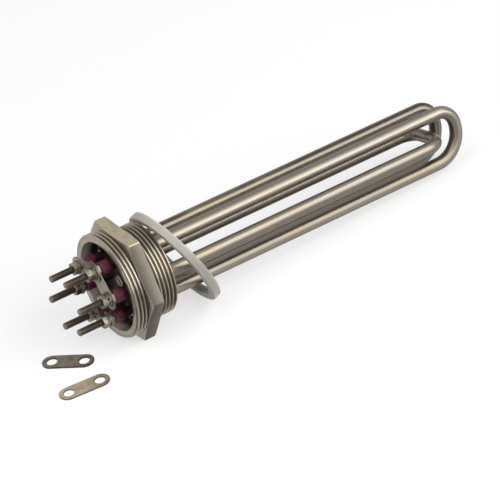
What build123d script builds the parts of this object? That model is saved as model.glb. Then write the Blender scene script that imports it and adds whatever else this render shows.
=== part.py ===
from build123d import *
import math
import os

# Screw-in immersion heater with three U-shaped tubes on a threaded hex head.
# +X runs from the terminals into the tank along the thread axis, Z is up. The origin is the
# centre of the hex face that seals against the tank. Lengths are millimetres, angles degrees,
# and angles around the axis are counted from +Y towards +Z.

# Head, one turned and milled piece. Both threads are left as plain cylinders of their outer size
tank_thread_od = 53.7
tank_thread_length = 13.5
cup_thread_od = 61.2
cup_thread_length = 7.2
lead_chamfer = 0.6
hex_step = 0.2
hex_thickness = 8.0
hex_face_margin = 0.3
hex_chamfer_drop = 1.2
cup_wall = 4.3
cup_depth = 11.5
cup_floor_radius = 1.2
edge_break = 0.4

# Tubes
leg_circle_radius = 16.42
first_leg_angle = 47.3
tube_od = 7.4
tube_wall = 0.7
braze_gap = 0.05
mouth_stand = 5.8
bead_size = 1.6

# Each U is bent tighter at its first leg than at its second, round a short straight at the apex
outer_reach = 218.7
outer_tight_bend = 10.1
outer_apex = 1.5
middle_reach = 215.6
middle_tight_bend = 9.2
middle_apex = 1.5
inner_reach = 204.0
inner_tight_bend = 9.8
inner_apex = 11.3

# First leg, second leg, how far the outermost point reaches, tight bend, apex straight
tubes = [
    (2, 4, outer_reach, outer_tight_bend, outer_apex),
    (1, 5, middle_reach, middle_tight_bend, middle_apex),
    (6, 3, inner_reach, inner_tight_bend, inner_apex),
]

# What the tubes hold
winding_od = 3.6
cold_length = 38.0

# Terminals
terminal_count = 6
stud_od = 4.0
stud_tip = 42.3
stud_tip_chamfer = 0.5
pin_od = 2.4
bush_od = 8.4
bush_length = 6.4
bush_stand = 16.7
bush_edge = 0.8
bush_spigot_depth = 3.0
bush_clearance = 0.1
stud_shoulder_depth = 8.0

# Fasteners
nut_af = 7.0
nut_thickness = 3.2
thin_nut_thickness = 2.2
nut_chamfer_drop = 0.35
nut_face_margin = 0.1
nut_turn_step = 23.0
thread_clearance = 0.05
washer_od = 9.0
washer_id = 4.3
washer_thickness = 0.8
spring_washer_od = 7.6
spring_washer_id = 4.1
spring_washer_thickness = 0.9
spring_washer_slit = 0.9
spring_washer_slit_lean = 25.0

# Jumper links
link_thickness = 0.8
link_hole_spacing = 18.4
link_hole_od = 6.2
link_width = 11.0

# Gasket that stands on the floor and leans on the end of the tank thread, off centre
gasket_slip = 0.2
gasket_band = 5.1
gasket_thickness = 4.8
gasket_lean = 23.8
gasket_turn = 3.3
gasket_off_centre = -3.3
gasket_gap = 0.1
gasket_edge = 0.5

# Earth screw in the middle of the cup floor
earth_screw_od = 4.0
earth_head_od = 7.4
earth_head_height = 2.6
earth_screw_length = 8.0
earth_slot_width = 1.0
earth_slot_depth = 1.1

# Loose links on the floor, measured on it from the hex: back, aside and turn
near_link_back = 46.9
near_link_aside = 1.6
near_link_turn = -43.7
far_link_back = 52.8
far_link_aside = 28.3
far_link_turn = -9.1

# Worked-out sizes
tank_end_radius = tank_thread_od / 2 - lead_chamfer
hex_af = cup_thread_od + 2 * hex_step
cup_radius = cup_thread_od / 2 - cup_wall
gasket_id = tank_thread_od + 2 * gasket_slip
gasket_od = gasket_id + 2 * gasket_band
cup_rim_x = -hex_thickness - cup_thread_length
cup_floor_x = cup_rim_x + cup_depth
mouth_x = cup_floor_x - mouth_stand
bush_face_x = cup_floor_x - bush_stand
bush_inner_x = mouth_x + bush_spigot_depth
sheath_bore_radius = tube_od / 2 - tube_wall
overlap = 1.0


def lathe(points):
    """Turned solid from a closed outline of (radius, height) points, its axis on local Z."""
    outline = make_face(Polyline(*points, close=True))
    return revolve(Plane.XZ * outline, Axis.Z)


def across_axis(x, y=0.0, z=0.0):
    """Workplane square to the heater axis, with its local Z along +X and its local X along +Y."""
    return Plane(origin=(x, y, z), x_dir=(0, 1, 0), z_dir=(1, 0, 0))


def leg_angle(number):
    return first_leg_angle + (number - 1) * 360.0 / terminal_count


def leg_centre(number):
    angle = math.radians(leg_angle(number))
    return Vector(0, leg_circle_radius * math.cos(angle), leg_circle_radius * math.sin(angle))


def on_leg(number, x):
    centre = leg_centre(number)
    return across_axis(x, centre.Y, centre.Z)


def ring(outer, inner, thickness):
    return extrude(Circle(outer / 2) - Circle(inner / 2), thickness)


def floor_slope():
    """Pitch of the floor that touches the lower edge of the hex and the end of its lowest tube."""
    first, lowest, reach, tight_bend, apex_straight = tubes[1]
    chord = (leg_centre(first) - leg_centre(lowest)).length
    straight_end = reach - tube_od / 2 - (chord - tight_bend - apex_straight)
    rise = leg_centre(lowest).Z - tube_od / 2 + hex_af / 2
    return math.atan2(rise, straight_end)


def floor_plane():
    """The floor, its local X up the slope towards the tube ends."""
    slope = floor_slope()
    return Plane(origin=(0, 0, -hex_af / 2), x_dir=(math.cos(slope), 0, math.sin(slope)),
                 z_dir=(-math.sin(slope), 0, math.cos(slope)))


def corner_cone(across_flats, thickness, chamfer_drop, face_margin):
    """Turned blank whose lower face and cone take the corners off a hexagon on local Z."""
    corner = across_flats / 2 / math.cos(math.pi / 6)
    face = across_flats / 2 - face_margin
    outer = corner + (corner - face)
    return lathe([(0, 0), (face, 0), (outer, 2 * chamfer_drop), (outer, thickness), (0, thickness)])


def hex_blank(across_flats, thickness):
    return extrude(RegularPolygon(across_flats / 2, 6, major_radius=False), thickness)


def make_head():
    hexagon = hex_blank(hex_af, hex_thickness)
    hexagon &= corner_cone(hex_af, hex_thickness, hex_chamfer_drop, hex_face_margin)
    end = hex_thickness + tank_thread_length
    spigot = lathe([(0, -cup_thread_length), (cup_thread_od / 2 - lead_chamfer, -cup_thread_length),
                    (cup_thread_od / 2, lead_chamfer - cup_thread_length),
                    (cup_thread_od / 2, hex_thickness / 2), (tank_thread_od / 2, hex_thickness / 2),
                    (tank_thread_od / 2, end - lead_chamfer), (tank_end_radius, end), (0, end)])
    head = across_axis(-hex_thickness) * (hexagon + spigot)
    cup = Pos(0, 0, cup_rim_x) * extrude(Circle(cup_radius), cup_depth)
    cup = fillet(cup.edges().sort_by(Axis.Z)[-1], cup_floor_radius)
    mouth = cup_radius + edge_break
    cup += Pos(0, 0, cup_rim_x) * lathe([(0, -overlap), (mouth + overlap, -overlap),
                                         (cup_radius, edge_break), (0, edge_break)])
    head -= across_axis(0) * cup
    for number in range(1, terminal_count + 1):
        bore = extrude(Circle(tube_od / 2 + braze_gap), tank_thread_length - cup_floor_x + 2 * overlap)
        head -= on_leg(number, cup_floor_x - overlap) * bore
    screw_hole = extrude(Circle(earth_screw_od / 2 + thread_clearance), earth_screw_length + overlap)
    head -= across_axis(cup_floor_x) * screw_hole
    return head


def tube_path(first, second, reach, tight_bend, apex_straight, start_x):
    """Centre line of a U: leg, tight bend, short straight, wide bend, leg."""
    a = leg_centre(first)
    b = leg_centre(second)
    chord = (a - b).length
    wide_bend = chord - tight_bend - apex_straight
    across = (a - b).normalized()
    plane = Plane(origin=(a + b) / 2, x_dir=(1, 0, 0), z_dir=Vector(1, 0, 0).cross(across))
    corners = [(start_x, chord / 2), (reach, chord / 2), (reach, -chord / 2), (start_x, -chord / 2)]
    return plane * FilletPolyline(*corners, radius=[tight_bend, wide_bend])


def swept(path, outer_radius, inner_radius=0.0):
    section = Circle(outer_radius)
    if inner_radius:
        section -= Circle(inner_radius)
    return sweep(Plane(origin=path @ 0, z_dir=path % 0) * section, path)


def make_tube(first, second, reach, tight_bend, apex_straight):
    """Sheath, powder fill and winding of one U, all on one centre line."""
    route = (first, second, reach - tube_od / 2, tight_bend, apex_straight)
    sheath = swept(tube_path(*route, mouth_x), tube_od / 2, sheath_bore_radius)
    winding = swept(tube_path(*route, cold_length), winding_od / 2)
    fill = swept(tube_path(*route, bush_inner_x), sheath_bore_radius)
    fill -= winding
    for number in (first, second):
        fill -= on_leg(number, bush_inner_x) * extrude(Circle(pin_od / 2), cold_length - bush_inner_x)
    return sheath, fill, winding


def make_bead():
    """Concave ring of braze between a tube and the end face of the tank thread."""
    wall = tube_od / 2
    corner = (wall + bead_size, 0.0)
    curve = RadiusArc(corner, (wall, bead_size), bead_size)
    face = make_face(curve + Line((wall, bead_size), (wall, 0)) + Line((wall, 0), corner))
    return revolve(Plane.XZ * face, Axis.Z)


def make_terminal_pin():
    """Threaded stud outside, thinner cold pin inside, its shoulder seated in the bush."""
    shoulder = stud_tip + bush_face_x + stud_shoulder_depth
    end = stud_tip + cold_length
    return lathe([(0, 0), (stud_od / 2 - stud_tip_chamfer, 0), (stud_od / 2, stud_tip_chamfer),
                  (stud_od / 2, shoulder), (pin_od / 2, shoulder), (pin_od / 2, end), (0, end)])


def make_bush():
    """Insulating bush: a round body outside the tube and a spigot that plugs its mouth."""
    spigot = sheath_bore_radius - bush_clearance
    end = bush_inner_x - bush_face_x
    shoulder = stud_shoulder_depth
    body = bush_od / 2
    return lathe([(stud_od / 2 + bush_clearance / 2, 0), (body - bush_edge, 0), (body, bush_edge),
                  (body, bush_length - bush_edge), (body - bush_edge, bush_length),
                  (spigot, bush_length), (spigot, end), (pin_od / 2, end), (pin_od / 2, shoulder),
                  (stud_od / 2 + bush_clearance / 2, shoulder)])


def make_nut(thickness):
    """Nut with both faces turned, its lower one at the origin."""
    cone = corner_cone(nut_af, thickness, nut_chamfer_drop, nut_face_margin)
    nut = hex_blank(nut_af, thickness) & cone
    nut &= Pos(0, 0, thickness) * Rot(180, 0, 0) * cone
    return nut - Cylinder(stud_od / 2 + thread_clearance, 3 * thickness)


def make_spring_washer():
    washer = ring(spring_washer_od, spring_washer_id, spring_washer_thickness)
    slit = Box(spring_washer_od, spring_washer_slit, 3 * spring_washer_thickness)
    return washer - Pos(spring_washer_od / 2, 0, 0) * Rot(spring_washer_slit_lean, 0, 0) * slit


def make_link():
    """Flat obround link, its hole line on local X and its middle at the origin."""
    plate = SlotCenterToCenter(link_hole_spacing, link_width)
    for side in (-1, 1):
        plate -= Pos(side * link_hole_spacing / 2, 0) * Circle(link_hole_od / 2)
    return extrude(plate, link_thickness)


def link_between(first, second, x):
    a = leg_centre(first)
    b = leg_centre(second)
    middle = (a + b) / 2
    plane = Plane(origin=(x, middle.Y, middle.Z), x_dir=a - b, z_dir=(1, 0, 0))
    return plane * make_link()


def loose_link(back, aside, turn):
    return Pos(-back, -aside, 0) * Rot(0, 0, turn) * make_link()


def make_gasket():
    """Square-section ring, its lowest edge on the floor and its face on the thread's end."""
    lean = math.radians(gasket_lean)
    turn = math.radians(gasket_turn)
    normal = Vector(math.cos(lean) * math.cos(turn), math.cos(lean) * math.sin(turn), math.sin(lean))
    floor = floor_plane()
    up = floor.z_dir
    seat = tank_thread_length * normal.X + tank_end_radius * math.hypot(normal.Y, normal.Z)
    reach = seat + gasket_gap + gasket_thickness / 2 - gasket_off_centre * normal.Y
    tilt = normal.dot(up)
    drop = gasket_od / 2 * math.sqrt(1 - tilt ** 2) + gasket_thickness / 2 * tilt
    height = floor.origin.dot(up) + drop
    scale = normal.X * up.Z - normal.Z * up.X
    centre = Vector((reach * up.Z - height * normal.Z) / scale, gasket_off_centre,
                    (height * normal.X - reach * up.X) / scale)
    body = ring(gasket_od, gasket_id, gasket_thickness)
    body = chamfer(body.edges(), gasket_edge)
    plane = Plane(origin=centre, x_dir=(-normal.Y, normal.X, 0), z_dir=normal)
    return plane * (Pos(0, 0, -gasket_thickness / 2) * body)


def make_earth_screw():
    """Slotted cheese-head screw, head towards local -Z, its seat at the origin."""
    head = lathe([(0, -earth_head_height), (earth_head_od / 2 - edge_break, -earth_head_height),
                  (earth_head_od / 2, edge_break - earth_head_height), (earth_head_od / 2, 0),
                  (earth_screw_od / 2, 0), (earth_screw_od / 2, earth_screw_length),
                  (0, earth_screw_length)])
    slot = Box(2 * earth_head_od, earth_slot_width, 2 * earth_slot_depth)
    return head - Pos(0, 0, -earth_head_height) * slot


def terminal_stack(number):
    """Names of what is stacked on a stud, from the bush outwards."""
    stack = ["inner_nut"]
    if number == 1:
        stack += ["flat_washer", "jumper_link_a", "spring_washer"]
    elif number == 2:
        stack += ["jumper_link_b", "jumper_link_a", "flat_washer", "spring_washer"]
    elif number == 3:
        stack += ["jumper_link_b", "flat_washer", "spring_washer"]
    else:
        stack += ["flat_washer", "spring_washer"]
    return stack + ["outer_nut"]


def make_terminals():
    """Nuts, washers and star-bridge links of all six studs."""
    thickness = {"inner_nut": thin_nut_thickness, "outer_nut": nut_thickness,
                 "flat_washer": washer_thickness, "spring_washer": spring_washer_thickness,
                 "jumper_link_a": link_thickness, "jumper_link_b": link_thickness}
    shapes = {"inner_nut": make_nut(thin_nut_thickness), "outer_nut": make_nut(nut_thickness),
              "flat_washer": ring(washer_od, washer_id, washer_thickness),
              "spring_washer": make_spring_washer()}
    link_ends = {"jumper_link_a": (1, 2), "jumper_link_b": (2, 3)}
    nodes = {}
    for number in range(1, terminal_count + 1):
        x = bush_face_x
        for level, name in enumerate(terminal_stack(number)):
            x -= thickness[name]
            if name in link_ends:
                nodes[name] = link_between(*link_ends[name], x)
            else:
                turn = Rot(0, 0, nut_turn_step * (number + 2 * level))
                nodes[f"{name}_{number}"] = on_leg(number, x) * (turn * shapes[name])
    return nodes


def make_all():
    nodes = {"flange_head": make_head()}
    for index, tube in enumerate(tubes, start=1):
        sheath, fill, winding = make_tube(*tube)
        nodes[f"sheath_tube_{index}"] = sheath
        nodes[f"magnesia_fill_{index}"] = fill
        nodes[f"resistance_coil_{index}"] = winding
    bead = make_bead()
    pin = make_terminal_pin()
    bush = make_bush()
    legs = range(1, terminal_count + 1)
    nodes["braze_beads"] = Compound(children=[on_leg(leg, tank_thread_length) * bead for leg in legs])
    for leg in legs:
        nodes[f"terminal_pin_{leg}"] = on_leg(leg, -stud_tip) * pin
        nodes[f"insulator_{leg}"] = on_leg(leg, bush_face_x) * bush
    nodes.update(make_terminals())
    nodes["earth_washer"] = across_axis(cup_floor_x - washer_thickness) * ring(
        washer_od, washer_id, washer_thickness)
    nodes["earth_screw"] = across_axis(cup_floor_x - washer_thickness) * make_earth_screw()
    nodes["gasket_ring"] = make_gasket()
    nodes["loose_link_1"] = floor_plane() * loose_link(near_link_back, near_link_aside, near_link_turn)
    nodes["loose_link_2"] = floor_plane() * loose_link(far_link_back, far_link_aside, far_link_turn)
    return nodes


os.makedirs("parts", exist_ok=True)
for node_name, solid in make_all().items():
    export_step(solid, f"parts/{node_name}.step")
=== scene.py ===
import math

import bmesh
import bpy
from bpy.props import FloatProperty, FloatVectorProperty, IntProperty, PointerProperty
from mathutils import Matrix, Vector


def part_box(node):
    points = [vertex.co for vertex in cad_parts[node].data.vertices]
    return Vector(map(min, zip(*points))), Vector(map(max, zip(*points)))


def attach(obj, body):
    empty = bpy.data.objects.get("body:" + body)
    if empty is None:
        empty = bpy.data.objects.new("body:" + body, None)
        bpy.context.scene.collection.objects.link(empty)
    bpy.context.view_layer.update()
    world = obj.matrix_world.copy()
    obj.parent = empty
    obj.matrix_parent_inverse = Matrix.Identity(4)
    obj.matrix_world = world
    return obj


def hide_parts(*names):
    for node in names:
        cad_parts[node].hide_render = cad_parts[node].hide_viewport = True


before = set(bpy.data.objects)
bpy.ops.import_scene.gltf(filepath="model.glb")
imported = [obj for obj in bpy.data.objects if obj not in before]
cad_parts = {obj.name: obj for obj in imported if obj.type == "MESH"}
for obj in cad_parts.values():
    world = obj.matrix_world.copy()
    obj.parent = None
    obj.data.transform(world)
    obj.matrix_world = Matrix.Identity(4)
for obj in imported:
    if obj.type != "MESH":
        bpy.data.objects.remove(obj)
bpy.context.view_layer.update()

# Finish of a screw-in immersion heater with three U tubes, its sealing ring and two spare links.
# The frame gives the place of every piece. Lengths are metres, +X runs along the thread axis from
# the terminals into the tank, and angles around that axis run from +Y towards +Z.

bl_info = {
    "name": "Screw-in Immersion Heater",
    "version": (1, 0, 0),
    "blender": (4, 5, 0),
    "location": "View3D > Sidebar > Heater",
    "description": "Models the finish of an immersion heater on its packed construction",
    "category": "Object",
}

MM = 0.001
LEGS = range(1, 7)
TUBE_LEGS = {1: (2, 4), 2: (1, 5), 3: (6, 3)}
LINK_LEGS = {"jumper_link_a": (1, 2), "jumper_link_b": (2, 3)}
LOOSE_LINK_TURNS = {"loose_link_1": -43.7, "loose_link_2": -9.1}
OUTER_NUT_LEVELS = {1: 4, 2: 5, 3: 4, 4: 3, 5: 3, 6: 3}


def middle(node):
    low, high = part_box(node)
    return (low + high) / 2


def span(node, axis):
    low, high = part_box(node)
    return high[axis] - low[axis]


HEAD_LOW, HEAD_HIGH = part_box("flange_head")
HEX_FLAT = -HEAD_LOW.z
CUP_FLOOR_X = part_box("earth_washer")[1].x


# Settings

class HeadSettings(bpy.types.PropertyGroup):
    tank_thread: FloatProperty(name="Tank thread", description="Over the crests of the tank thread",
                               default=0.0537, subtype="DISTANCE", unit="LENGTH")
    cup_thread: FloatProperty(name="Cup thread", description="Over the crests of the thread round the cup",
                              default=0.0612, subtype="DISTANCE", unit="LENGTH")
    thread_pitch: FloatProperty(name="Thread pitch", description="Crest to crest",
                                default=0.002309, subtype="DISTANCE", unit="LENGTH")
    thread_depth: FloatProperty(name="Thread depth", description="Crest to root",
                                default=0.00125, subtype="DISTANCE", unit="LENGTH")
    hex_thickness: FloatProperty(name="Hexagon thickness", description="Along the axis",
                                 default=0.008, subtype="DISTANCE", unit="LENGTH")
    lead_chamfer: FloatProperty(name="Lead chamfer", description="At the free end of each thread",
                                default=0.0006, subtype="DISTANCE", unit="LENGTH")
    cup_wall: FloatProperty(name="Cup wall", description="From the crests to the inside of the cup",
                            default=0.0043, subtype="DISTANCE", unit="LENGTH")
    edge_break: FloatProperty(name="Edge break", description="Width of the worn edges",
                              default=0.0003, subtype="DISTANCE", unit="LENGTH")
    colour: FloatVectorProperty(name="Steel", description="Turned and milled steel of the head",
                                default=(0.335, 0.296, 0.242), subtype="COLOR", size=3)
    # This colour also paints shade, on every flat but the top one and in the thread roots.
    tarnish_and_shade: FloatVectorProperty(name="Tarnish", description="Grime of the flats and the thread roots",
                                 default=(0.058, 0.053, 0.043), subtype="COLOR", size=3)


class TubeSettings(bpy.types.PropertyGroup):
    diameter: FloatProperty(name="Tube diameter", description="Outside of the sheath",
                            default=0.0074, subtype="DISTANCE", unit="LENGTH")
    wall: FloatProperty(name="Tube wall", description="Thickness of the sheath",
                        default=0.0007, subtype="DISTANCE", unit="LENGTH")
    outer_bend: FloatProperty(name="Outer tight bend", description="Centre line radius at its first leg",
                              default=0.0101, subtype="DISTANCE", unit="LENGTH")
    middle_bend: FloatProperty(name="Middle tight bend", description="Centre line radius at its first leg",
                               default=0.0092, subtype="DISTANCE", unit="LENGTH")
    inner_bend: FloatProperty(name="Inner tight bend", description="Centre line radius at its first leg",
                              default=0.0098, subtype="DISTANCE", unit="LENGTH")
    apex: FloatProperty(name="Apex straight", description="Straight between the bends of the outer tubes",
                        default=0.0015, subtype="DISTANCE", unit="LENGTH")
    inner_apex: FloatProperty(name="Inner apex straight", description="Straight between the inner bends",
                              default=0.0113, subtype="DISTANCE", unit="LENGTH")
    sides: IntProperty(name="Sides", description="Faces round a tube", default=64, min=12)
    # The bright and dark lines are partly drawing lines of the tube and partly painted reflection.
    light: FloatVectorProperty(name="Bright lines", description="Polished ridges of the drawn tube",
                               default=(0.248, 0.224, 0.190), subtype="COLOR", size=3)
    dark: FloatVectorProperty(name="Dark lines", description="Duller hollows of the drawn tube",
                              default=(0.062, 0.051, 0.039), subtype="COLOR", size=3)


class TerminalSettings(bpy.types.PropertyGroup):
    stud_diameter: FloatProperty(name="Stud diameter", description="Over the crests", default=0.004,
                                 subtype="DISTANCE", unit="LENGTH")
    stud_pitch: FloatProperty(name="Stud pitch", description="Crest to crest", default=0.0007,
                              subtype="DISTANCE", unit="LENGTH")
    stud_depth: FloatProperty(name="Stud thread depth", description="Crest to root", default=0.00038,
                              subtype="DISTANCE", unit="LENGTH")
    stud_shoulder: FloatProperty(name="Stud shoulder", description="Depth of the stud in its bush",
                                 default=0.008, subtype="DISTANCE", unit="LENGTH")
    pin_diameter: FloatProperty(name="Cold pin diameter", description="Inside the tube", default=0.0024,
                                subtype="DISTANCE", unit="LENGTH")
    nut_across_flats: FloatProperty(name="Nut across flats", description="Both kinds of nut",
                                    default=0.007, subtype="DISTANCE", unit="LENGTH")
    nut_turn_step: FloatProperty(name="Nut turn", description="Turn from one nut to the next",
                                 default=math.radians(23), subtype="ANGLE", unit="ROTATION")
    bush_length: FloatProperty(name="Bush body length", description="Outside the tube", default=0.0064,
                               subtype="DISTANCE", unit="LENGTH")
    link_width: FloatProperty(name="Link width", description="Across the plate", default=0.011,
                              subtype="DISTANCE", unit="LENGTH")
    link_spacing: FloatProperty(name="Link holes", description="Hole to hole", default=0.0184,
                                subtype="DISTANCE", unit="LENGTH")
    link_hole: FloatProperty(name="Link hole diameter", description="Both holes", default=0.0062,
                             subtype="DISTANCE", unit="LENGTH")
    bush_colour: FloatVectorProperty(name="Bush", description="Dark red insulating compound",
                                     default=(0.112, 0.019, 0.038), subtype="COLOR", size=3)
    plating: FloatVectorProperty(name="Plating", description="Nuts and washers",
                                 default=(0.262, 0.235, 0.182), subtype="COLOR", size=3)


class GasketSettings(bpy.types.PropertyGroup):
    outer: FloatProperty(name="Outside diameter", description="Of the sealing ring", default=0.0643,
                         subtype="DISTANCE", unit="LENGTH")
    inner: FloatProperty(name="Inside diameter", description="Of the sealing ring", default=0.0541,
                         subtype="DISTANCE", unit="LENGTH")
    thickness: FloatProperty(name="Thickness", description="Along its own axis", default=0.0048,
                             subtype="DISTANCE", unit="LENGTH")
    lean: FloatProperty(name="Lean", description="Of its axis above the thread axis",
                        default=math.radians(23.8), subtype="ANGLE", unit="ROTATION")
    turn: FloatProperty(name="Turn", description="Of its axis to the side of the thread axis",
                        default=math.radians(3.3), subtype="ANGLE", unit="ROTATION")
    colour: FloatVectorProperty(name="Rubber", description="Pale translucent rubber",
                                default=(0.46, 0.434, 0.386), subtype="COLOR", size=3)


class StageSettings(bpy.types.PropertyGroup):
    floor_size: FloatProperty(name="Floor size", description="Side of the floor", default=8.0,
                              subtype="DISTANCE", unit="LENGTH")
    floor_colour: FloatVectorProperty(name="Floor", description="Pale floor",
                                      default=(0.90, 0.90, 0.90), subtype="COLOR", size=3)
    key_power: FloatProperty(name="Key light", description="Large soft lamp beside the camera",
                             default=33.0, unit="POWER")
    fill_power: FloatProperty(name="Fill light", description="Large soft lamp above the terminals",
                              default=9.5, unit="POWER")
    world_fill: FloatProperty(name="World fill", description="Even light on the object", default=0.3)
    lens: FloatProperty(name="Focal length", description="Of the camera, in millimetres",
                        default=278.99, subtype="DISTANCE_CAMERA")


# Meshes

def row_place(x, y=0.0, z=0.0, turn=0.0):
    """Turns local Z along +X and local X along +Y, after a turn about local Z."""
    basis = Matrix(((0, 0, 1, x), (1, 0, 0, y), (0, 1, 0, z), (0, 0, 0, 1)))
    return basis @ Matrix.Rotation(turn, 4, "Z")


def on_leg(node, turn=0.0):
    """Place of a piece whose local origin is at the terminal end of its node."""
    centre = middle(node)
    return row_place(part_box(node)[0].x, centre.y, centre.z, turn)


def lathe(bm, points, steps, closed=False):
    """Spins an outline of (radius, height) points about local Z."""
    verts = [bm.verts.new((radius, 0, height)) for radius, height in points]
    ends = verts[1:] + verts[:1] if closed else verts[1:]
    edges = [bm.edges.new(pair) for pair in zip(verts, ends)]
    bmesh.ops.spin(bm, geom=verts + edges, axis=(0, 0, 1), cent=(0, 0, 0), angle=math.tau,
                   steps=steps, use_merge=True)
    bmesh.ops.remove_doubles(bm, verts=bm.verts, dist=1e-7)


def soften(bm, width, segments=2, sharper_than=math.radians(35)):
    """Bevels every edge that is sharper than the given angle."""
    edges = [e for e in bm.edges if e.is_manifold and e.calc_face_angle(0) > sharper_than]
    bmesh.ops.bevel(bm, geom=edges, offset=width, offset_type="OFFSET", segments=segments,
                    profile=0.5, affect="EDGES", clamp_overlap=True, material=-1)


def ring_stack(bm, sections, segments):
    """Joins closed rings; each section gives (radius, height) for an angle about local Z."""
    ring = bmesh.ops.create_circle(bm, segments=segments, radius=1.0)["verts"]
    edges = list({e for v in ring for e in v.link_edges})
    for index, section in enumerate(sections):
        if index:
            grown = bmesh.ops.extrude_edge_only(bm, edges=edges)["geom"]
            ring = [g for g in grown if isinstance(g, bmesh.types.BMVert)]
            edges = [g for g in grown if isinstance(g, bmesh.types.BMEdge)]
        for vert in ring:
            angle = math.atan2(vert.co.y, vert.co.x)
            radius, height = section(angle)
            vert.co = (radius * math.cos(angle), radius * math.sin(angle), height)


def hex_radius(half_flats, angle):
    """Distance from the axis to a hexagon whose flats face 30 degrees and every 60 after it."""
    off_flat = (angle % (math.pi / 3)) - math.pi / 6
    return half_flats / math.cos(off_flat)


def hex_sections(half_flats, thickness, bores, margin, drop, both_faces):
    """Sections of a hexagon whose corners a cone has turned off, from its lower bore to its upper."""
    face = half_flats - margin
    corner = half_flats / math.cos(math.pi / 6)

    def depth(angle):
        return drop * (hex_radius(half_flats, angle) - face) / (corner - face)

    def upper(angle):
        return hex_radius(half_flats, angle), thickness - (depth(angle) if both_faces else 0)

    sections = [lambda a: (bores[0], 0), lambda a: (face, 0),
                lambda a: (hex_radius(half_flats, a), depth(a)), upper]
    if both_faces:
        sections.append(lambda a: (face, thickness))
    sections.append(lambda a: (bores[1], thickness))
    return sections


def cut_ends(bm, low, high):
    """Trims what lies outside two planes square to local Z."""
    for height, side in ((low, -1), (high, 1)):
        geom = bm.verts[:] + bm.edges[:] + bm.faces[:]
        bmesh.ops.bisect_plane(bm, geom=geom, plane_co=(0, 0, height), plane_no=(0, 0, side),
                               clear_outer=True, dist=1e-8)


def helical_thread(low, high, crest, depth, pitch, steps, chamfer_low, chamfer_high, cap_radius):
    """Right-hand thread from low to high on local Z, with chamfered ends closed down to cap_radius.

    Its mask layer is 1 in the roots and 0 on the crests; the head darkens the roots with it by grime and painted
    shade."""
    bm = bmesh.new()
    flank = 0.30 * pitch
    land = 0.5 * pitch - flank
    root = crest - depth
    turns = math.ceil((high - low) / pitch) + 2
    points = []
    for turn in range(turns + 1):
        start = low - 1.5 * pitch + turn * pitch
        points += [(root, start), (root, start + land), (crest, start + land + flank),
                   (crest, start + 2 * land + flank)]
    grime = bm.verts.layers.float.new("grime")
    verts = [bm.verts.new((radius, 0, height)) for radius, height in points]
    for vert in verts:
        vert[grime] = 0.0 if vert.co.x > root else 1.0
    edges = [bm.edges.new(pair) for pair in zip(verts, verts[1:])]
    bmesh.ops.spin(bm, geom=verts + edges, axis=(0, 0, 1), cent=(0, 0, 0), angle=math.tau,
                   dvec=(0, 0, pitch / steps), steps=steps, use_merge=False)
    bmesh.ops.remove_doubles(bm, verts=bm.verts, dist=1e-6)
    cut_ends(bm, low, high)
    for height in (low + chamfer_low, high - chamfer_high):
        geom = bm.verts[:] + bm.edges[:] + bm.faces[:]
        bmesh.ops.bisect_plane(bm, geom=geom, plane_co=(0, 0, height), plane_no=(0, 0, 1), dist=1e-8)
    for vert in bm.verts:
        radius = math.hypot(vert.co.x, vert.co.y)
        limit = crest - max(chamfer_low - (vert.co.z - low), chamfer_high - (high - vert.co.z), 0)
        if radius > limit:
            vert.co.x *= limit / radius
            vert.co.y *= limit / radius
    for height in (low, high):
        rim = [e for e in bm.edges if e.is_boundary and all(abs(v.co.z - height) < 1e-6 for v in e.verts)]
        for vert in {v for e in rim for v in e.verts}:
            vert[grime] = 0.0
        grown = bmesh.ops.extrude_edge_only(bm, edges=rim)["geom"]
        for vert in (g for g in grown if isinstance(g, bmesh.types.BMVert)):
            shrink = cap_radius / math.hypot(vert.co.x, vert.co.y)
            vert.co.x *= shrink
            vert.co.y *= shrink
    return bm


def absorb(bm, other, place=None):
    """Moves a finished bmesh into another one."""
    if place is not None:
        bmesh.ops.transform(other, matrix=place, verts=other.verts)
    mesh = bpy.data.meshes.new("part")
    other.to_mesh(mesh)
    other.free()
    bm.from_mesh(mesh)
    bpy.data.meshes.remove(mesh)


def add_piece(name, bm, place, nodes, material, crease=math.radians(32)):
    """Puts a bmesh into the row as an object at the origin that stands for CAD nodes."""
    bmesh.ops.transform(bm, matrix=place, verts=bm.verts)
    bmesh.ops.recalc_face_normals(bm, faces=bm.faces)
    for face in bm.faces:
        face.smooth = True
    for edge in bm.edges:
        edge.smooth = edge.calc_face_angle(0) < crease
    mesh = bpy.data.meshes.new(name)
    bm.to_mesh(mesh)
    bm.free()
    mesh.materials.append(material)
    piece = bpy.data.objects.new(name, mesh)
    bpy.context.scene.collection.objects.link(piece)
    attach(piece, "root")
    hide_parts(*nodes)
    return piece


# Shaders

class Link:
    """One output of a shader node, so that sums on it add Math nodes."""

    def __init__(self, shader, socket):
        self.shader = shader
        self.socket = socket

    def math(self, operation, first, second):
        return self.shader.node("ShaderNodeMath", {"operation": operation}, {0: first, 1: second})

    def __add__(self, other):
        return self.math("ADD", self, other)

    __radd__ = __add__

    def __sub__(self, other):
        return self.math("SUBTRACT", self, other)

    def __rsub__(self, other):
        return self.math("SUBTRACT", other, self)

    def __mul__(self, other):
        return self.math("MULTIPLY", self, other)

    __rmul__ = __mul__

    def __truediv__(self, other):
        return self.math("DIVIDE", self, other)

    def absolute(self):
        return self.math("ABSOLUTE", self, 0.0)


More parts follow.
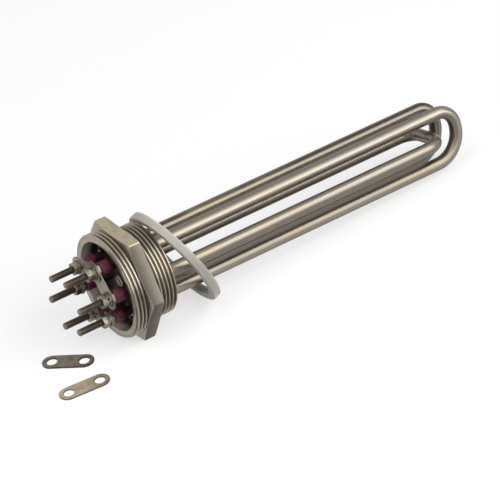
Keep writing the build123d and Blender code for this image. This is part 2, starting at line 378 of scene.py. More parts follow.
class Shader:
    """A node tree and the ways in which its nodes are added."""

    def __init__(self, tree):
        self.tree = tree
        tree.nodes.clear()

    def node(self, kind, settings=None, sockets=None, output=0):
        made = self.tree.nodes.new(kind)
        for key, value in (settings or {}).items():
            if key == "stops":
                self.set_stops(made.color_ramp, value)
            else:
                setattr(made, key, value)
        for key, value in (sockets or {}).items():
            if isinstance(value, Link):
                self.tree.links.new(value.socket, made.inputs[key])
            else:
                made.inputs[key].default_value = value
        return Link(self, made.outputs[output]) if made.outputs else made

    def set_stops(self, color_ramp, stops):
        while len(color_ramp.elements) < len(stops):
            color_ramp.elements.new(0.5)
        for element, (position, value) in zip(color_ramp.elements, stops):
            element.position = position
            element.color = (value, value, value, 1)

    def object_point(self):
        return self.node("ShaderNodeTexCoord", output="Object")

    def stretched(self, point, scale):
        return self.node("ShaderNodeVectorMath", {"operation": "MULTIPLY"}, {0: point, 1: scale})

    def noise(self, point, scale, detail=3.0, roughness=0.55):
        return self.node("ShaderNodeTexNoise", None, {"Vector": point, "Scale": scale, "Detail": detail,
                                                      "Roughness": roughness})

    def ramp(self, value, *stops):
        return self.node("ShaderNodeValToRGB", {"stops": stops}, {"Fac": value})

    def blend(self, factor, first, second):
        return self.node("ShaderNodeMix", {"data_type": "RGBA"},
                         {"Factor": factor, 6: first, 7: second}, output=2)

    def bump(self, height, strength, distance):
        return self.node("ShaderNodeBump", None, {"Height": height, "Strength": strength,
                                                  "Distance": distance})

    def axis_distance(self, point):
        """Distance from the thread axis."""
        off_axis = self.stretched(point, (0, 1, 1))
        return self.node("ShaderNodeVectorMath", {"operation": "LENGTH"}, {0: off_axis}, output="Value")

    def surface(self, **sockets):
        """Principled surface on the tree's output; a keyword's underscores stand for spaces."""
        named = {key.replace("_", " ").title().replace("Ior", "IOR"): value
                 for key, value in sockets.items()}
        principled = self.node("ShaderNodeBsdfPrincipled", None, named)
        self.node("ShaderNodeOutputMaterial", None, {"Surface": principled})


def rgba(colour):
    return (*colour, 1.0)


def new_material(name):
    material = bpy.data.materials.new(name)
    material.use_nodes = True
    return material, Shader(material.node_tree)


def material_once(build):
    """A material is built the first time that a piece asks for it, under a name that the frame leaves free."""
    def find(context):
        name = f"{build.__name__}_finish"
        if name not in bpy.data.materials:
            material, shader = new_material(name)
            build(shader, context)
        return bpy.data.materials[name]
    return find


@material_once
def head_steel(shader, context):
    """Turned steel with fine rings about the axis and straw stains, and painted light and shade: a paler top
    flat, the other flats darkened by tarnish and painted shade, thread roots darkened by grime and painted
    shade, and a cup painted pale at its mouth and dark towards its floor.
    """
    head = context.scene.heater_head
    point = shader.object_point()
    radius = shader.axis_distance(point)
    place = shader.node("ShaderNodeSeparateXYZ", None, {0: point}, output="X")
    height = shader.node("ShaderNodeSeparateXYZ", None, {0: point}, output="Z")
    turned = shader.node("ShaderNodeCombineXYZ", None, {"X": place, "Y": radius})
    rings = shader.noise(turned, 3600, 2.0)
    stain = shader.noise(point, 55, 4.0)
    fine = shader.noise(point, 700, 3.0)
    facing = shader.node("ShaderNodeSeparateXYZ", None,
                         {0: shader.node("ShaderNodeNewGeometry", output="True Normal")}, output="X")
    on_side = shader.ramp(facing.absolute(), (0.3, 1.0), (0.5, 0.0))
    outside = shader.ramp(radius * 1000 - HEX_FLAT * 1000 + 0.5, (0.3, 0.0), (0.35, 1.0))
    flats = on_side * outside
    # The top hex flat is the lit one. Painted light makes it paler and straw-toned, and it gets none of the
    # painted shade of the other flats.
    lit_top_flat = shader.ramp((height / HEX_FLAT) + 0.02 * stain, (0.985, 0.0), (1.0, 1.0))
    steel = rgba(head.colour)
    straw = rgba(c * k for c, k in zip(head.colour, (1.22, 1.16, 0.94)))
    grey = rgba(c * k for c, k in zip(head.colour, (0.62, 0.64, 0.66)))
    rust = rgba((0.30, 0.19, 0.12))
    dark = rgba(head.tarnish_and_shade)
    # Straw tone comes from stains at random, plus painted light on the top flat.
    tone = shader.blend(shader.ramp(stain, (0.42, 0.0), (0.70, 0.25)) + 0.6 * flats * lit_top_flat, steel, straw)
    tone = shader.blend(shader.ramp(stain * 0.85 + fine * 0.15, (0.34, 0.8), (0.50, 0.0)), tone, grey)
    # Painted shade with some tarnish: every flat but the top one is darkened, most on the cup side and least at
    # its tank-side edge.
    across = shader.ramp(place / head.hex_thickness + 1.0 + 0.3 * (stain - 0.5), (0.1, 0.97), (0.95, 0.72))
    tone = shader.blend(flats * (1 - lit_top_flat) * across, tone, dark)
    tone = shader.blend(flats * lit_top_flat * shader.ramp(stain, (0.50, 0.0), (0.66, 0.5)), tone, rust)
    # Inside the cup, painted light makes the wall pale near the mouth, and painted shade darkens it towards the
    # floor.
    in_cup = shader.ramp(radius * 1000 - head.cup_thread * 500 + head.cup_wall * 1000, (0.0, 1.0), (0.2, 0.0))
    in_cup = in_cup * shader.ramp((place - CUP_FLOOR_X) * 1000, (0.3, 1.0), (0.6, 0.0))
    depth = (place - HEAD_LOW.x) / (CUP_FLOOR_X - HEAD_LOW.x) + 0.3 * (stain - 0.5)
    tone = shader.blend(in_cup, tone, rgba((0.62, 0.57, 0.52)))
    tone = shader.blend(in_cup * shader.ramp(depth, (0.32, 0.0), (0.66, 1.0)), tone, rgba((0.032, 0.021, 0.018)))
    # Grime and painted shade darken the thread roots.
    grime = shader.node("ShaderNodeAttribute", {"attribute_name": "grime"}, output="Fac")
    root = shader.ramp(grime + 0.25 * (fine - 0.5), (0.25, 0.0), (0.6, 0.5), (0.9, 0.82))
    tone = shader.blend(root, tone, rgba(c * 0.9 for c in head.tarnish_and_shade))
    shader.surface(base_color=tone, metallic=0.9 - 0.45 * in_cup,
                   roughness=0.26 + 0.16 * stain + 0.16 * flats,
                   normal=shader.bump(rings, 0.16, 0.00012))


@material_once
def tube_steel(shader, context):
    """Drawn and polished tube: bright and dark lines along it that keep their place round the bends, partly
    drawing lines and partly painted reflection.
    """
    tube = context.scene.heater_tubes
    around = shader.node("ShaderNodeAttribute", {"attribute_name": "around"}, output="Vector")
    point = shader.object_point()
    broad = shader.noise(around, 1.3, 1.5)
    lines = shader.noise(around, 11.0, 3.0)
    stain = shader.noise(point, 34, 3.0)
    fine = shader.noise(point, 900, 2.0)
    # Bands round the tube: partly drawing lines, partly painted reflection.
    line_and_reflection_band = shader.ramp(broad * 0.8 + lines * 0.2, (0.36, 0.0), (0.46, 0.45), (0.54, 0.66), (0.64, 1.0))
    tone = shader.blend(line_and_reflection_band, rgba(tube.dark), rgba(tube.light))
    warm = rgba(c * k for c, k in zip(tube.light, (0.92, 0.80, 0.66)))
    tone = shader.blend(shader.ramp(stain, (0.45, 0.0), (0.75, 0.55)), tone, warm)
    tone = shader.blend(shader.ramp(fine, (0.68, 0.0), (0.80, 0.4)), tone, rgba(tube.dark))
    shader.surface(base_color=tone, metallic=0.95, roughness=0.28 + 0.12 * stain,
                   normal=shader.bump(lines, 0.08, 0.0001))


@material_once
def stud_steel(shader, context):
    """Blackened thread, rubbed bare on the crests and at the tip."""
    point = shader.object_point()
    along = shader.node("ShaderNodeSeparateXYZ", None, {0: point}, output="X")
    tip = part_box("terminal_pin_1")[0].x
    bare = shader.ramp((along - tip) / 0.006, (0.0, 1.0), (0.35, 0.4), (1.0, 0.12))
    wear = shader.noise(point, 1400, 3.0)
    grime = shader.node("ShaderNodeAttribute", {"attribute_name": "grime"}, output="Fac")
    crest = shader.ramp(grime, (0.05, 1.0), (0.6, 0.0))
    rubbed = (0.2 + 0.8 * bare) * crest * shader.ramp(wear, (0.35, 0.55), (0.65, 1.0))
    tone = shader.blend(rubbed, rgba((0.022, 0.016, 0.012)), rgba((0.25, 0.195, 0.15)))
    shader.surface(base_color=tone, metallic=0.8, roughness=0.34 + 0.2 * wear,
                   normal=shader.bump(wear, 0.15, 0.00005))


def plated(shader, colour, mottle_scale, dark_share, plate_axis=None):
    """Plated steel with cloudy tarnish and fine scratches; on a plate, painted shade darkens the walls square to
    its axis, and the rims are darker.
    """
    point = shader.object_point()
    cloud = shader.noise(point, mottle_scale, 4.0, 0.6)
    scratch = shader.noise(shader.stretched(point, (1, 3.1, 0.4)), 1900, 2.0)
    dull = rgba(c * dark_share for c in colour)
    bright = rgba(c * 1.7 for c in colour)
    tone = shader.blend(shader.ramp(cloud, (0.38, 0.0), (0.6, 1.0)), dull, rgba(colour))
    tone = shader.blend(shader.ramp(scratch, (0.62, 0.0), (0.75, 0.35)), tone, bright)
    if plate_axis:
        # Painted shade on the plate's side walls, whose normals lie square to its axis.
        normal = shader.node("ShaderNodeNewGeometry", output="True Normal")
        facing = shader.node("ShaderNodeSeparateXYZ", None, {0: normal}, output=plate_axis).absolute()
        tone = shader.blend(shader.ramp(facing, (0.45, 0.85), (0.9, 0.0)), tone,
                            rgba(c * 0.22 for c in colour))
        grime = shader.node("ShaderNodeAttribute", {"attribute_name": "grime"}, output="Fac")
        tone = shader.blend(shader.ramp(grime + 1.1 * (cloud - 0.5), (0.35, 0.0), (1.0, 0.8)), tone,
                            rgba(c * 0.25 for c in colour))
    shader.surface(base_color=tone, metallic=0.85, roughness=0.27 + 0.2 * cloud,
                   normal=shader.bump(scratch + cloud, 0.12, 0.00006))


@material_once
def fastener_steel(shader, context):
    plated(shader, context.scene.heater_terminals.plating, 260, 0.38)


@material_once
def link_steel(shader, context):
    plated(shader, (0.36, 0.305, 0.25), 150, 0.66, "X")


@material_once
def pale_link_steel(shader, context):
    plated(shader, (0.50, 0.405, 0.305), 150, 0.66, "Z")


@material_once
def dark_link_steel(shader, context):
    plated(shader, (0.185, 0.150, 0.120), 150, 0.6, "Z")


@material_once
def bush_compound(shader, context):
    """Glazed dark red compound, blotched with oxide and slightly uneven, with painted shade where it reaches
    into the cup.
    """
    colour = context.scene.heater_terminals.bush_colour
    point = shader.object_point()
    blotch = shader.noise(point, 330, 4.0, 0.6)
    grain = shader.noise(point, 2400, 2.0)
    dark = rgba(c * 0.42 for c in colour)
    along = shader.node("ShaderNodeSeparateXYZ", None, {0: point}, output="X")
    # Painted shade: the bush is darkened where it reaches into the cup.
    cup_shade = shader.ramp((along - HEAD_LOW.x) * 200 + 0.4 * blotch, (0.1, 0.0), (0.8, 0.92))
    tone = shader.blend(shader.ramp(blotch, (0.36, 0.0), (0.58, 1.0)), dark, rgba(colour))
    tone = shader.blend(shader.ramp(blotch * grain, (0.30, 0.0), (0.42, 0.22)), tone,
                        rgba((0.22, 0.11, 0.13)))
    tone = shader.blend(cup_shade, tone, rgba(c * 0.2 for c in colour))
    shader.surface(base_color=tone, roughness=0.42 + 0.22 * blotch, specular_ior_level=0.28,
                   normal=shader.bump(blotch + 0.3 * grain, 0.25, 0.00015))


@material_once
def gasket_rubber(shader, context):
    """Pale moulded rubber with a soft cloudy depth and fine dust, and painted shade that darkens it lower down.
    """
    colour = context.scene.heater_gasket.colour
    point = shader.object_point()
    cloud = shader.noise(point, 60, 3.0)
    dust = shader.noise(point, 1500, 2.0)
    warm = rgba(c * k for c, k in zip(colour, (1.05, 1.0, 0.92)))
    cool = rgba(c * k for c, k in zip(colour, (0.90, 0.93, 0.94)))
    tone = shader.blend(shader.ramp(cloud, (0.4, 0.0), (0.6, 1.0)), cool, warm)
    tone = shader.blend(shader.ramp(dust, (0.64, 0.0), (0.75, 0.3)), tone, rgba((0.62, 0.60, 0.56)))
    # Painted shade: darker lower down, paler towards its top.
    height = shader.node("ShaderNodeSeparateXYZ", None, {0: point}, output="Z")
    tone = shader.blend(shader.ramp(height * 12 + 0.5, (0.65, 1.0), (0.95, 0.0)), tone,
                        rgba(c * 0.55 for c in colour))
    shader.surface(base_color=tone, roughness=0.42 + 0.15 * cloud, subsurface_weight=0.85,
                   subsurface_scale=0.006, subsurface_radius=(1.0, 0.95, 0.88),
                   normal=shader.bump(dust, 0.05, 0.00005))


@material_once
def braze_metal(shader, context):
    """Silver braze that flowed and froze, with a little flux stain."""
    point = shader.object_point()
    ripple = shader.noise(point, 700, 3.0)
    flux = shader.noise(point, 160, 3.0)
    tone = shader.blend(shader.ramp(flux, (0.4, 0.0), (0.65, 1.0)), rgba((0.13, 0.105, 0.075)),
                        rgba((0.34, 0.30, 0.23)))
    shader.surface(base_color=tone, metallic=0.85, roughness=0.35 + 0.2 * flux,
                   normal=shader.bump(ripple, 0.4, 0.0002))


@material_once
def magnesia_powder(shader, context):
    """Pressed white powder with fine grain."""
    grain = shader.noise(shader.object_point(), 2600, 3.0)
    tone = shader.blend(grain, rgba((0.74, 0.72, 0.67)), rgba((0.88, 0.87, 0.84)))
    shader.surface(base_color=tone, roughness=0.9, normal=shader.bump(grain, 0.3, 0.0001))


@material_once
def winding_wire(shader, context):
    """Close turns of resistance wire."""
    point = shader.object_point()
    turns = shader.node("ShaderNodeTexWave", {"bands_direction": "X"}, {"Vector": point, "Scale": 320.0})
    tone = shader.blend(turns, rgba((0.12, 0.11, 0.10)), rgba((0.5, 0.48, 0.45)))
    shader.surface(base_color=tone, metallic=0.9, roughness=0.3, normal=shader.bump(turns, 0.5, 0.0002))


# Pieces

class HEATER_OT_head(bpy.types.Operator):
    """Model the threaded hex head with its terminal cup"""
    bl_idname = "heater.head"
    bl_label = "Threaded Head"

    def execute(self, context):
        head = context.scene.heater_head
        rim = HEAD_LOW.x
        end = HEAD_HIGH.x
        seat = -head.hex_thickness
        cup = head.cup_thread / 2 - head.cup_wall
        sunk = head.thread_depth + 0.1 * MM
        cup_core = head.cup_thread / 2 - sunk
        tank_core = head.tank_thread / 2 - sunk
        bm = bmesh.new()
        lathe(bm, [(0, CUP_FLOOR_X), (cup, CUP_FLOOR_X), (cup, rim), (cup_core, rim), (cup_core, seat / 2),
                   (tank_core, seat / 2), (tank_core, end), (0, end)], 160)
        floor_corner = [e for e in bm.edges if all(abs(v.co.z - CUP_FLOOR_X) < 1e-6
                                                   and abs(math.hypot(v.co.x, v.co.y) - cup) < 1e-6
                                                   for v in e.verts)]
        bmesh.ops.bevel(bm, geom=floor_corner, offset=1.2 * MM, offset_type="OFFSET", segments=4,
                        profile=0.5, affect="EDGES", clamp_overlap=True, material=-1)
        soften(bm, 0.4 * MM, 3, math.radians(60))
        hexagon = bmesh.new()
        ring_stack(hexagon, hex_sections(HEX_FLAT, head.hex_thickness, (cup_core, tank_core), 0.3 * MM,
                                         1.2 * MM, False), 144)
        soften(hexagon, head.edge_break, sharper_than=math.radians(40))
        absorb(bm, hexagon, Matrix.Translation((0, 0, seat)))
        chamfer = head.lead_chamfer
        for low, high, diameter, at_low, at_high, core in (
                (rim, seat, head.cup_thread, chamfer, 0, cup_core),
                (0, end, head.tank_thread, 0, chamfer, tank_core)):
            absorb(bm, helical_thread(low, high, diameter / 2, head.thread_depth, head.thread_pitch, 160,
                                      at_low, at_high, core))
        add_piece("threaded_head", bm, row_place(0), ["flange_head"], head_steel(context))
        return {"FINISHED"}


class HEATER_OT_tubes(bpy.types.Operator):
    """Bend the three U tubes"""
    bl_idname = "heater.tubes"
    bl_label = "U Tubes"

    def extrude(self, bm, edges, move):
        grown = bmesh.ops.extrude_edge_only(bm, edges=edges)["geom"]
        bmesh.ops.translate(bm, vec=move, verts=[g for g in grown if isinstance(g, bmesh.types.BMVert)])
        return [g for g in grown if isinstance(g, bmesh.types.BMEdge)]

    def bend(self, bm, edges, centre, steps):
        verts = list({v for e in edges for v in e.verts})
        turned = bmesh.ops.spin(bm, geom=verts + list(edges), axis=(0, -1, 0), cent=centre,
                                angle=math.pi / 2, steps=steps, use_merge=False)["geom_last"]
        return [g for g in turned if isinstance(g, bmesh.types.BMEdge)]

    def mouth(self, bm, edges, centre, inwards, tube):
        """Turns the end of the sheath in and back along its bore."""
        grown = bmesh.ops.extrude_edge_only(bm, edges=edges)["geom"]
        verts = [g for g in grown if isinstance(g, bmesh.types.BMVert)]
        share = 1 - 2 * tube.wall / tube.diameter
        bmesh.ops.scale(bm, vec=(share, share, 1), space=Matrix.Translation(-centre), verts=verts)
        self.extrude(bm, [g for g in grown if isinstance(g, bmesh.types.BMEdge)], (0, 0, inwards))

    def u_tube(self, tube, start, chord, reach, tight, apex, offset):
        """A U in its own plane, legs along local Z, the tight bend on the +X side."""
        bm = bmesh.new()
        around = bm.verts.layers.float_vector.new("around")
        circle = bmesh.ops.create_circle(bm, segments=tube.sides, radius=tube.diameter / 2)["verts"]
        for vert in circle:
            angle = math.atan2(vert.co.y, vert.co.x)
            vert[around] = (math.cos(angle), math.sin(angle), offset)
        first_mouth = Vector((chord / 2, 0, start))
        second_mouth = Vector((-chord / 2, 0, start))
        bmesh.ops.translate(bm, vec=first_mouth, verts=circle)
        wide = chord - tight - apex
        line = reach - tube.diameter / 2
        first_edges = list(bm.edges)
        edges = self.extrude(bm, first_edges, (0, 0, line - tight - start))
        edges = self.bend(bm, edges, (chord / 2 - tight, 0, line - tight), 20)
        edges = self.extrude(bm, edges, (-apex, 0, 0))
        edges = self.bend(bm, edges, (wide - chord / 2, 0, line - wide), 28)
        edges = self.extrude(bm, edges, (0, 0, start - line + wide))
        self.mouth(bm, first_edges, first_mouth, 3 * MM, tube)
        self.mouth(bm, edges, second_mouth, 3 * MM, tube)
        return bm

    def execute(self, context):
        tube = context.scene.heater_tubes
        bends = {1: (tube.outer_bend, tube.apex), 2: (tube.middle_bend, tube.apex),
                 3: (tube.inner_bend, tube.inner_apex)}
        for number, (first, second) in TUBE_LEGS.items():
            node = f"sheath_tube_{number}"
            a = leg_point(first)
            b = leg_point(second)
            across = (a - b).normalized()
            side = Vector((1, 0, 0)).cross(across)
            centre = (a + b) / 2
            place = Matrix((
                (across.x, side.x, 1, centre.x),
                (across.y, side.y, 0, centre.y),
                (across.z, side.z, 0, centre.z),
                (0, 0, 0, 1),
            ))
            low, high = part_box(node)
            tight, apex = bends[number]
            bm = self.u_tube(tube, low.x, (a - b).length, high.x, tight, apex, 3.7 * number)
            add_piece(f"u_tube_{number}", bm, place, [node], tube_steel(context))
        return {"FINISHED"}


def leg_point(number):
    """Where a leg crosses the plane of the seat."""
    centre = middle(f"terminal_pin_{number}")
    return Vector((0, centre.y, centre.z))


class HEATER_OT_studs(bpy.types.Operator):
    """Thread the six terminal studs"""
    bl_idname = "heater.studs"
    bl_label = "Terminal Studs"

    def execute(self, context):
        terminal = context.scene.heater_terminals
        crest = terminal.stud_diameter / 2
        pin = terminal.pin_diameter / 2
        for leg in LEGS:
            node = f"terminal_pin_{leg}"
            length = span(node, 0)
            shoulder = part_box(f"insulator_{leg}")[0].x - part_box(node)[0].x + terminal.stud_shoulder
            root = crest - terminal.stud_depth - 0.05 * MM
            bm = bmesh.new()
            lathe(bm, [(0, 0), (root, 0), (root, shoulder), (pin, shoulder), (pin, length), (0, length)], 32)
            absorb(bm, helical_thread(0, shoulder, crest, terminal.stud_depth, terminal.stud_pitch, 32,
                                      0.45 * MM, 0, root))
            add_piece(f"stud_{leg}", bm, on_leg(node), [node], stud_steel(context))
        return {"FINISHED"}


class HEATER_OT_bushes(bpy.types.Operator):
    """Model the six insulating bushes"""
    bl_idname = "heater.bushes"
    bl_label = "Insulating Bushes"

    def execute(self, context):
        terminal = context.scene.heater_terminals
        tube = context.scene.heater_tubes
        bore = terminal.stud_diameter / 2 + 0.05 * MM
        spigot = tube.diameter / 2 - tube.wall - 0.1 * MM
        for leg in LEGS:
            node = f"insulator_{leg}"
            length = span(node, 0)
            body = span(node, 1) / 2
            bm = bmesh.new()
            lathe(bm, [(bore, 0), (body, 0), (body, terminal.bush_length), (spigot, terminal.bush_length),
                       (spigot, length), (bore, length)], 48, closed=True)
            rims = [e for e in bm.edges if e.calc_length() < 0.9 * MM and e.calc_face_angle(0) > 1.0
                    and all(math.hypot(v.co.x, v.co.y) > 0.9 * body for v in e.verts)]
            bmesh.ops.bevel(bm, geom=rims, offset=0.8 * MM, offset_type="OFFSET", segments=4,
                            profile=0.5, affect="EDGES", clamp_overlap=True, material=-1)
            add_piece(f"bush_{leg}", bm, on_leg(node), [node], bush_compound(context))
        return {"FINISHED"}


class HEATER_OT_fasteners(bpy.types.Operator):
    """Model the nuts and washers of the studs"""
    bl_idname = "heater.fasteners"
    bl_label = "Nuts and Washers"

    def nut(self, terminal, thickness):
        bm = bmesh.new()
        half = terminal.nut_across_flats / 2
        mouth = terminal.stud_diameter / 2 + 0.15 * MM
        sections = hex_sections(half, thickness, (mouth, mouth), 0.1 * MM, 0.35 * MM, True)
        bore = terminal.stud_diameter / 2 - 0.25 * MM
        sections.append(lambda a: (bore, thickness - 0.4 * MM))
        sections.append(lambda a: (bore, 0.4 * MM))
        sections.append(sections[0])
        ring_stack(bm, sections, 72)
        bmesh.ops.remove_doubles(bm, verts=bm.verts, dist=1e-7)
        soften(bm, 0.09 * MM, sharper_than=math.radians(44))
        return bm

    def flat_washer(self, outer, inner, thickness):
        bm = bmesh.new()
        lathe(bm, [(inner, 0), (outer, 0), (outer, thickness), (inner, thickness)], 64, closed=True)
        soften(bm, 0.12 * MM)
        return bm

    def spring_washer(self, outer, inner, thickness):
        """A turn of square wire, cut and sprung a little apart."""
        bm = bmesh.new()
        wire = thickness * 0.86
        lift = thickness - wire
        corners = [bm.verts.new((r, 0, z)) for r, z in ((inner, 0), (outer, 0), (outer, wire), (inner, wire))]
        face = bm.faces.new(corners)
        steps = 44
        bmesh.ops.spin(bm, geom=[face] + face.edges[:] + corners, axis=(0, 0, 1), cent=(0, 0, 0),
                       angle=math.radians(342), steps=steps, dvec=(0, 0, lift / steps), use_merge=False)
        soften(bm, 0.1 * MM)
        return bm

    def execute(self, context):
        terminal = context.scene.heater_terminals
        steel = fastener_steel(context)
        bore = terminal.stud_diameter / 2
        for leg in LEGS:
            for kind, level in (("inner_nut", 0), ("outer_nut", OUTER_NUT_LEVELS[leg])):
                node = f"{kind}_{leg}"
                turn = terminal.nut_turn_step * (leg + 2 * level)
                add_piece(f"{kind}_piece_{leg}", self.nut(terminal, span(node, 0)), on_leg(node, turn),
                          [node], steel)
            node = f"flat_washer_{leg}"
            add_piece(f"washer_{leg}", self.flat_washer(span(node, 1) / 2, bore + 0.15 * MM, span(node, 0)),
                      on_leg(node), [node], steel)
            node = f"spring_washer_{leg}"
            add_piece(f"lock_washer_{leg}",
                      self.spring_washer(span(node, 2) / 2, bore + 0.05 * MM, span(node, 0)),
                      on_leg(node, 0.9 * leg), [node], steel)
        return {"FINISHED"}


def floor_place():
    """Floor that touches the lower edge of the hexagon and the end of the lowest tube."""
    tube = bpy.context.scene.heater_tubes
    first, lowest = TUBE_LEGS[2]
    wide = (leg_point(first) - leg_point(lowest)).length - tube.middle_bend - tube.apex
    straight_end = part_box("sheath_tube_2")[1].x - tube.diameter / 2 - wide
    rise = leg_point(lowest).z - tube.diameter / 2 + HEX_FLAT
    slope = math.atan2(rise, straight_end)
    return Matrix.Translation((0, 0, -HEX_FLAT)) @ Matrix.Rotation(-slope, 4, "Y")


class HEATER_OT_links(bpy.types.Operator):
    """Punch the two fitted and the two spare links"""
    bl_idname = "heater.links"
    bl_label = "Jumper Links"

    def plate(self, terminal, thickness):
        """Obround plate about the origin, holes on local X, punched from below."""
        bm = bmesh.new()
        edge_segments = 96
        outline = bmesh.ops.create_circle(bm, segments=edge_segments, radius=terminal.link_width / 2)["verts"]
        bmesh.ops.rotate(bm, verts=outline, cent=(0, 0, 0),
                         matrix=Matrix.Rotation(math.pi / edge_segments, 3, "Z"))
        for vert in outline:
            vert.co.x += math.copysign(terminal.link_spacing / 2, vert.co.x)
        for side in (-1, 1):
            hole = bmesh.ops.create_circle(bm, segments=48, radius=terminal.link_hole / 2)["verts"]
            bmesh.ops.translate(bm, vec=(side * terminal.link_spacing / 2, 0, 0), verts=hole)
        bmesh.ops.triangle_fill(bm, use_beauty=True, edges=bm.edges[:])
        grime = bm.verts.layers.float.new("grime")
        for vert in bm.verts:
            vert[grime] = 1.0
        bmesh.ops.inset_region(bm, faces=bm.faces[:], thickness=0.8 * MM, use_boundary=True,
                               use_even_offset=True)
        for vert in bm.verts:
            if not vert.is_boundary:
                vert[grime] = 0.0
        grown = bmesh.ops.extrude_face_region(bm, geom=bm.faces[:])["geom"]
        verts = [g for g in grown if isinstance(g, bmesh.types.BMVert)]
        bmesh.ops.translate(bm, vec=(0, 0, thickness), verts=verts)
        bmesh.ops.recalc_face_normals(bm, faces=bm.faces)
        soften(bm, 0.13 * MM, sharper_than=math.radians(60))
        bmesh.ops.translate(bm, vec=(0, 0, -thickness / 2), verts=bm.verts)
        return bm

    def execute(self, context):
        terminal = context.scene.heater_terminals
        thickness = span("jumper_link_a", 0)
        for node, (first, second) in LINK_LEGS.items():
            centre = middle(node)
            along = leg_point(first) - leg_point(second)
            turn = math.atan2(along.z, along.y)
            place = row_place(centre.x, centre.y, centre.z, turn)
            add_piece(f"{node}_plate", self.plate(terminal, thickness), place, [node],
                      link_steel(context))
        steels = {"loose_link_1": dark_link_steel(context), "loose_link_2": pale_link_steel(context)}
        for node, turn in LOOSE_LINK_TURNS.items():
            place = floor_place().to_3x3().to_4x4() @ Matrix.Rotation(math.radians(turn), 4, "Z")
            place = Matrix.Translation(middle(node)) @ place
            add_piece(f"{node}_plate", self.plate(terminal, thickness), place, [node],
                      steels[node])
        return {"FINISHED"}


class HEATER_OT_gasket(bpy.types.Operator):
    """Mould the sealing ring"""
    bl_idname = "heater.gasket"
    bl_label = "Sealing Ring"

    def execute(self, context):
        gasket = context.scene.heater_gasket
        half = gasket.thickness / 2
        outer = gasket.outer / 2
        inner = gasket.inner / 2
        bm = bmesh.new()
        lathe(bm, [(inner, -half), (outer, -half), (outer, half), (inner, half)], 160, closed=True)
        soften(bm, 0.65 * MM, 4)
        place = Matrix.Translation(middle("gasket_ring")) @ Matrix.Rotation(gasket.turn, 4, "Z")
        place = place @ Matrix.Rotation(-gasket.lean, 4, "Y") @ row_place(0)
        add_piece("sealing_ring", bm, place, ["gasket_ring"], gasket_rubber(context))
        return {"FINISHED"}


class HEATER_OT_earth(bpy.types.Operator):
    """Model the earth screw and its washer"""
    bl_idname = "heater.earth"
    bl_label = "Earth Screw"

    def execute(self, context):
        washer = span("earth_washer", 0)
        bm = bmesh.new()
        outer = span("earth_washer", 1) / 2
        lathe(bm, [(2.15 * MM, 0), (outer, 0), (outer, washer), (2.15 * MM, washer)], 64, closed=True)
        soften(bm, 0.12 * MM)
        steel = fastener_steel(context)
        add_piece("earth_washer_piece", bm, row_place(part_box("earth_washer")[0].x), ["earth_washer"],
                  steel)
        node = "earth_screw"
        radius = span(node, 1) / 2
        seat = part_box("earth_washer")[0].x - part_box(node)[0].x
        slot_half = 0.5 * MM
        slot_depth = 1.1 * MM
        bm = bmesh.new()
        bmesh.ops.create_circle(bm, cap_ends=True, segments=64, radius=radius)
        grown = bmesh.ops.extrude_face_region(bm, geom=bm.faces[:], use_keep_orig=True)["geom"]
        bmesh.ops.translate(bm, vec=(0, 0, seat), verts=[g for g in grown if isinstance(g, bmesh.types.BMVert)])
        planes = [((0, side * slot_half, 0), (0, 1, 0)) for side in (-1, 1)] + [((0, 0, slot_depth), (0, 0, 1))]
        for point, normal in planes:
            bmesh.ops.bisect_plane(bm, geom=bm.verts[:] + bm.edges[:] + bm.faces[:], plane_co=point,
                                   plane_no=normal, dist=1e-8)
        top = [f for f in bm.faces if abs(f.calc_center_median().z) < 1e-6
               and abs(f.calc_center_median().y) < slot_half]
        grown = bmesh.ops.extrude_face_region(bm, geom=top)["geom"]
        bmesh.ops.delete(bm, geom=top, context="FACES_ONLY")
        bmesh.ops.translate(bm, vec=(0, 0, slot_depth),
                            verts=[g for g in grown if isinstance(g, bmesh.types.BMVert)])
        gates = []
        for face in bm.faces:
            centre = face.calc_center_median()
            on_wall = math.hypot(centre.x, centre.y) > 0.98 * radius
            if on_wall and abs(centre.y) < slot_half and centre.z < slot_depth:
                gates.append(face)
        bmesh.ops.delete(bm, geom=gates, context="FACES_ONLY")
        bmesh.ops.remove_doubles(bm, verts=bm.verts, dist=1e-6)
        shank = bmesh.new()
        root = 1.6 * MM
        length = span(node, 0)
        lathe(shank, [(0, seat), (root, seat), (root, length), (0, length)], 32)
        absorb(bm, shank)
        add_piece("earth_screw_piece", bm, row_place(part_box(node)[0].x, turn=math.radians(35)), [node],
                  steel)
        return {"FINISHED"}


class HEATER_OT_insides(bpy.types.Operator):
    """Finish the braze, the powder and the windings, which keep their construction shapes"""
    bl_idname = "heater.insides"
    bl_label = "Braze and Insides"

    def execute(self, context):
        finishes = {"braze_beads": braze_metal(context)}
        for number in TUBE_LEGS:
            finishes[f"magnesia_fill_{number}"] = magnesia_powder(context)
            finishes[f"resistance_coil_{number}"] = winding_wire(context)
        for node, material in finishes.items():
            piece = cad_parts[node]
            for index in range(len(piece.material_slots)):
                piece.material_slots[index].material = material
        return {"FINISHED"}


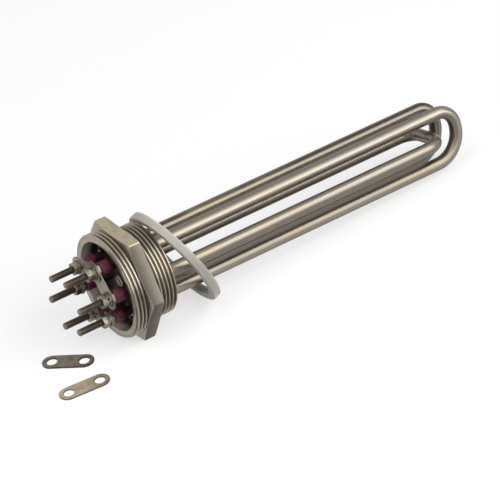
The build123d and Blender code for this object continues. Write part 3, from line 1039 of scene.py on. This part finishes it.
class HEATER_OT_stage(bpy.types.Operator):
    """Lay the pale floor, hang the soft lamps and set the camera"""
    bl_idname = "heater.stage"
    bl_label = "Floor, Lamps and Camera"

    def floor(self, context):
        stage = context.scene.heater_stage
        bm = bmesh.new()
        bmesh.ops.create_grid(bm, x_segments=1, y_segments=1, size=stage.floor_size / 2)
        bmesh.ops.transform(bm, matrix=floor_place(), verts=bm.verts)
        mesh = bpy.data.meshes.new("floor")
        bm.to_mesh(mesh)
        bm.free()
        material, shader = new_material("pale_floor")
        grain = shader.noise(shader.object_point(), 2.0, 2.0)
        pale = rgba(stage.floor_colour)
        paler = rgba(c * 1.03 for c in stage.floor_colour)
        matt = shader.node("ShaderNodeBsdfDiffuse", None, {"Color": shader.blend(grain, pale, paler)})
        white = shader.node("ShaderNodeEmission", None, {"Color": rgba((1, 1, 1)), "Strength": 1.0})
        seen = self.seen_directly(shader)
        mixed = shader.node("ShaderNodeMixShader", None, {0: seen * 0.62, 1: matt, 2: white})
        shader.node("ShaderNodeOutputMaterial", None, {"Surface": mixed})
        mesh.materials.append(material)
        floor = bpy.data.objects.new("floor", mesh)
        context.scene.collection.objects.link(floor)

    def seen_directly(self, shader):
        """1 for rays from the camera, a mirror surface or a clear one."""
        camera = shader.node("ShaderNodeLightPath", output="Is Camera Ray")
        glossy = shader.node("ShaderNodeLightPath", output="Is Glossy Ray")
        through = shader.node("ShaderNodeLightPath", output="Is Transmission Ray")
        return shader.node("ShaderNodeMath", {"operation": "MINIMUM"}, {0: camera + glossy + through, 1: 1.0})

    def lamp(self, context, name, place, target, size, power):
        data = bpy.data.lights.new(name, "AREA")
        data.shape = "SQUARE"
        data.size = size
        data.energy = power
        lamp = bpy.data.objects.new(name, data)
        direction = Vector(target) - Vector(place)
        lamp.matrix_world = (Matrix.Translation(place)
                             @ direction.to_track_quat("-Z", "Y").to_matrix().to_4x4())
        context.scene.collection.objects.link(lamp)

    def world(self, context):
        stage = context.scene.heater_stage
        world = bpy.data.worlds.new("studio")
        world.use_nodes = True
        shader = Shader(world.node_tree)
        strength = stage.world_fill + (1 - stage.world_fill) * self.seen_directly(shader)
        background = shader.node("ShaderNodeBackground", None, {"Color": rgba((1, 1, 1)),
                                                                "Strength": strength})
        shader.node("ShaderNodeOutputWorld", None, {"Surface": background})
        context.scene.world = world

    def camera(self, context):
        data = bpy.data.cameras.new("camera")
        data.sensor_width = 36.0
        data.lens = context.scene.heater_stage.lens
        data.clip_end = 20.0
        camera = bpy.data.objects.new("camera", data)
        right = Vector((0.82603, -0.54893, -0.12786))
        upward = Vector((0.38910, 0.39126, 0.83398))
        back = right.cross(upward)
        place = Matrix((right, upward, back)).transposed().to_4x4()
        camera.matrix_world = Matrix.Translation((-0.800755, -1.588410, 1.135758)) @ place
        context.scene.collection.objects.link(camera)
        context.scene.camera = camera

    def execute(self, context):
        stage = context.scene.heater_stage
        self.floor(context)
        self.world(context)
        centre = (0.07, 0, 0)
        self.lamp(context, "key_lamp", (0.72, -1.13, 0.92), centre, 1.7, stage.key_power)
        self.lamp(context, "fill_lamp", (-0.65, -0.15, 1.2), centre, 1.0, stage.fill_power)
        self.camera(context)
        context.scene.view_settings.view_transform = "Standard"
        return {"FINISHED"}


class HEATER_PT_panel(bpy.types.Panel):
    """Lists the steps in the order in which they run"""
    bl_idname = "HEATER_PT_panel"
    bl_label = "Immersion Heater"
    bl_space_type = "VIEW_3D"
    bl_region_type = "UI"
    bl_category = "Heater"

    def draw(self, context):
        for operator in OPERATORS:
            self.layout.operator(operator.bl_idname)
        for name in SETTINGS:
            group = getattr(context.scene, name)
            box = self.layout.box()
            for key in group.bl_rna.properties.keys():
                if key not in {"rna_type", "name"}:
                    box.prop(group, key)


SETTINGS = {
    "heater_head": HeadSettings,
    "heater_tubes": TubeSettings,
    "heater_terminals": TerminalSettings,
    "heater_gasket": GasketSettings,
    "heater_stage": StageSettings,
}
OPERATORS = (HEATER_OT_head, HEATER_OT_tubes, HEATER_OT_studs, HEATER_OT_bushes, HEATER_OT_fasteners,
             HEATER_OT_links, HEATER_OT_gasket, HEATER_OT_earth, HEATER_OT_insides, HEATER_OT_stage)


def register():
    for cls in (*SETTINGS.values(), *OPERATORS, HEATER_PT_panel):
        bpy.utils.register_class(cls)
    for name, cls in SETTINGS.items():
        setattr(bpy.types.Scene, name, PointerProperty(type=cls))


def unregister():
    for name in SETTINGS:
        delattr(bpy.types.Scene, name)
    for cls in reversed((*SETTINGS.values(), *OPERATORS, HEATER_PT_panel)):
        bpy.utils.unregister_class(cls)


def main():
    register()
    for operator in OPERATORS:
        group, action = operator.bl_idname.split(".")
        getattr(getattr(bpy.ops, group), action)()


if __name__ == "__main__":
    main()
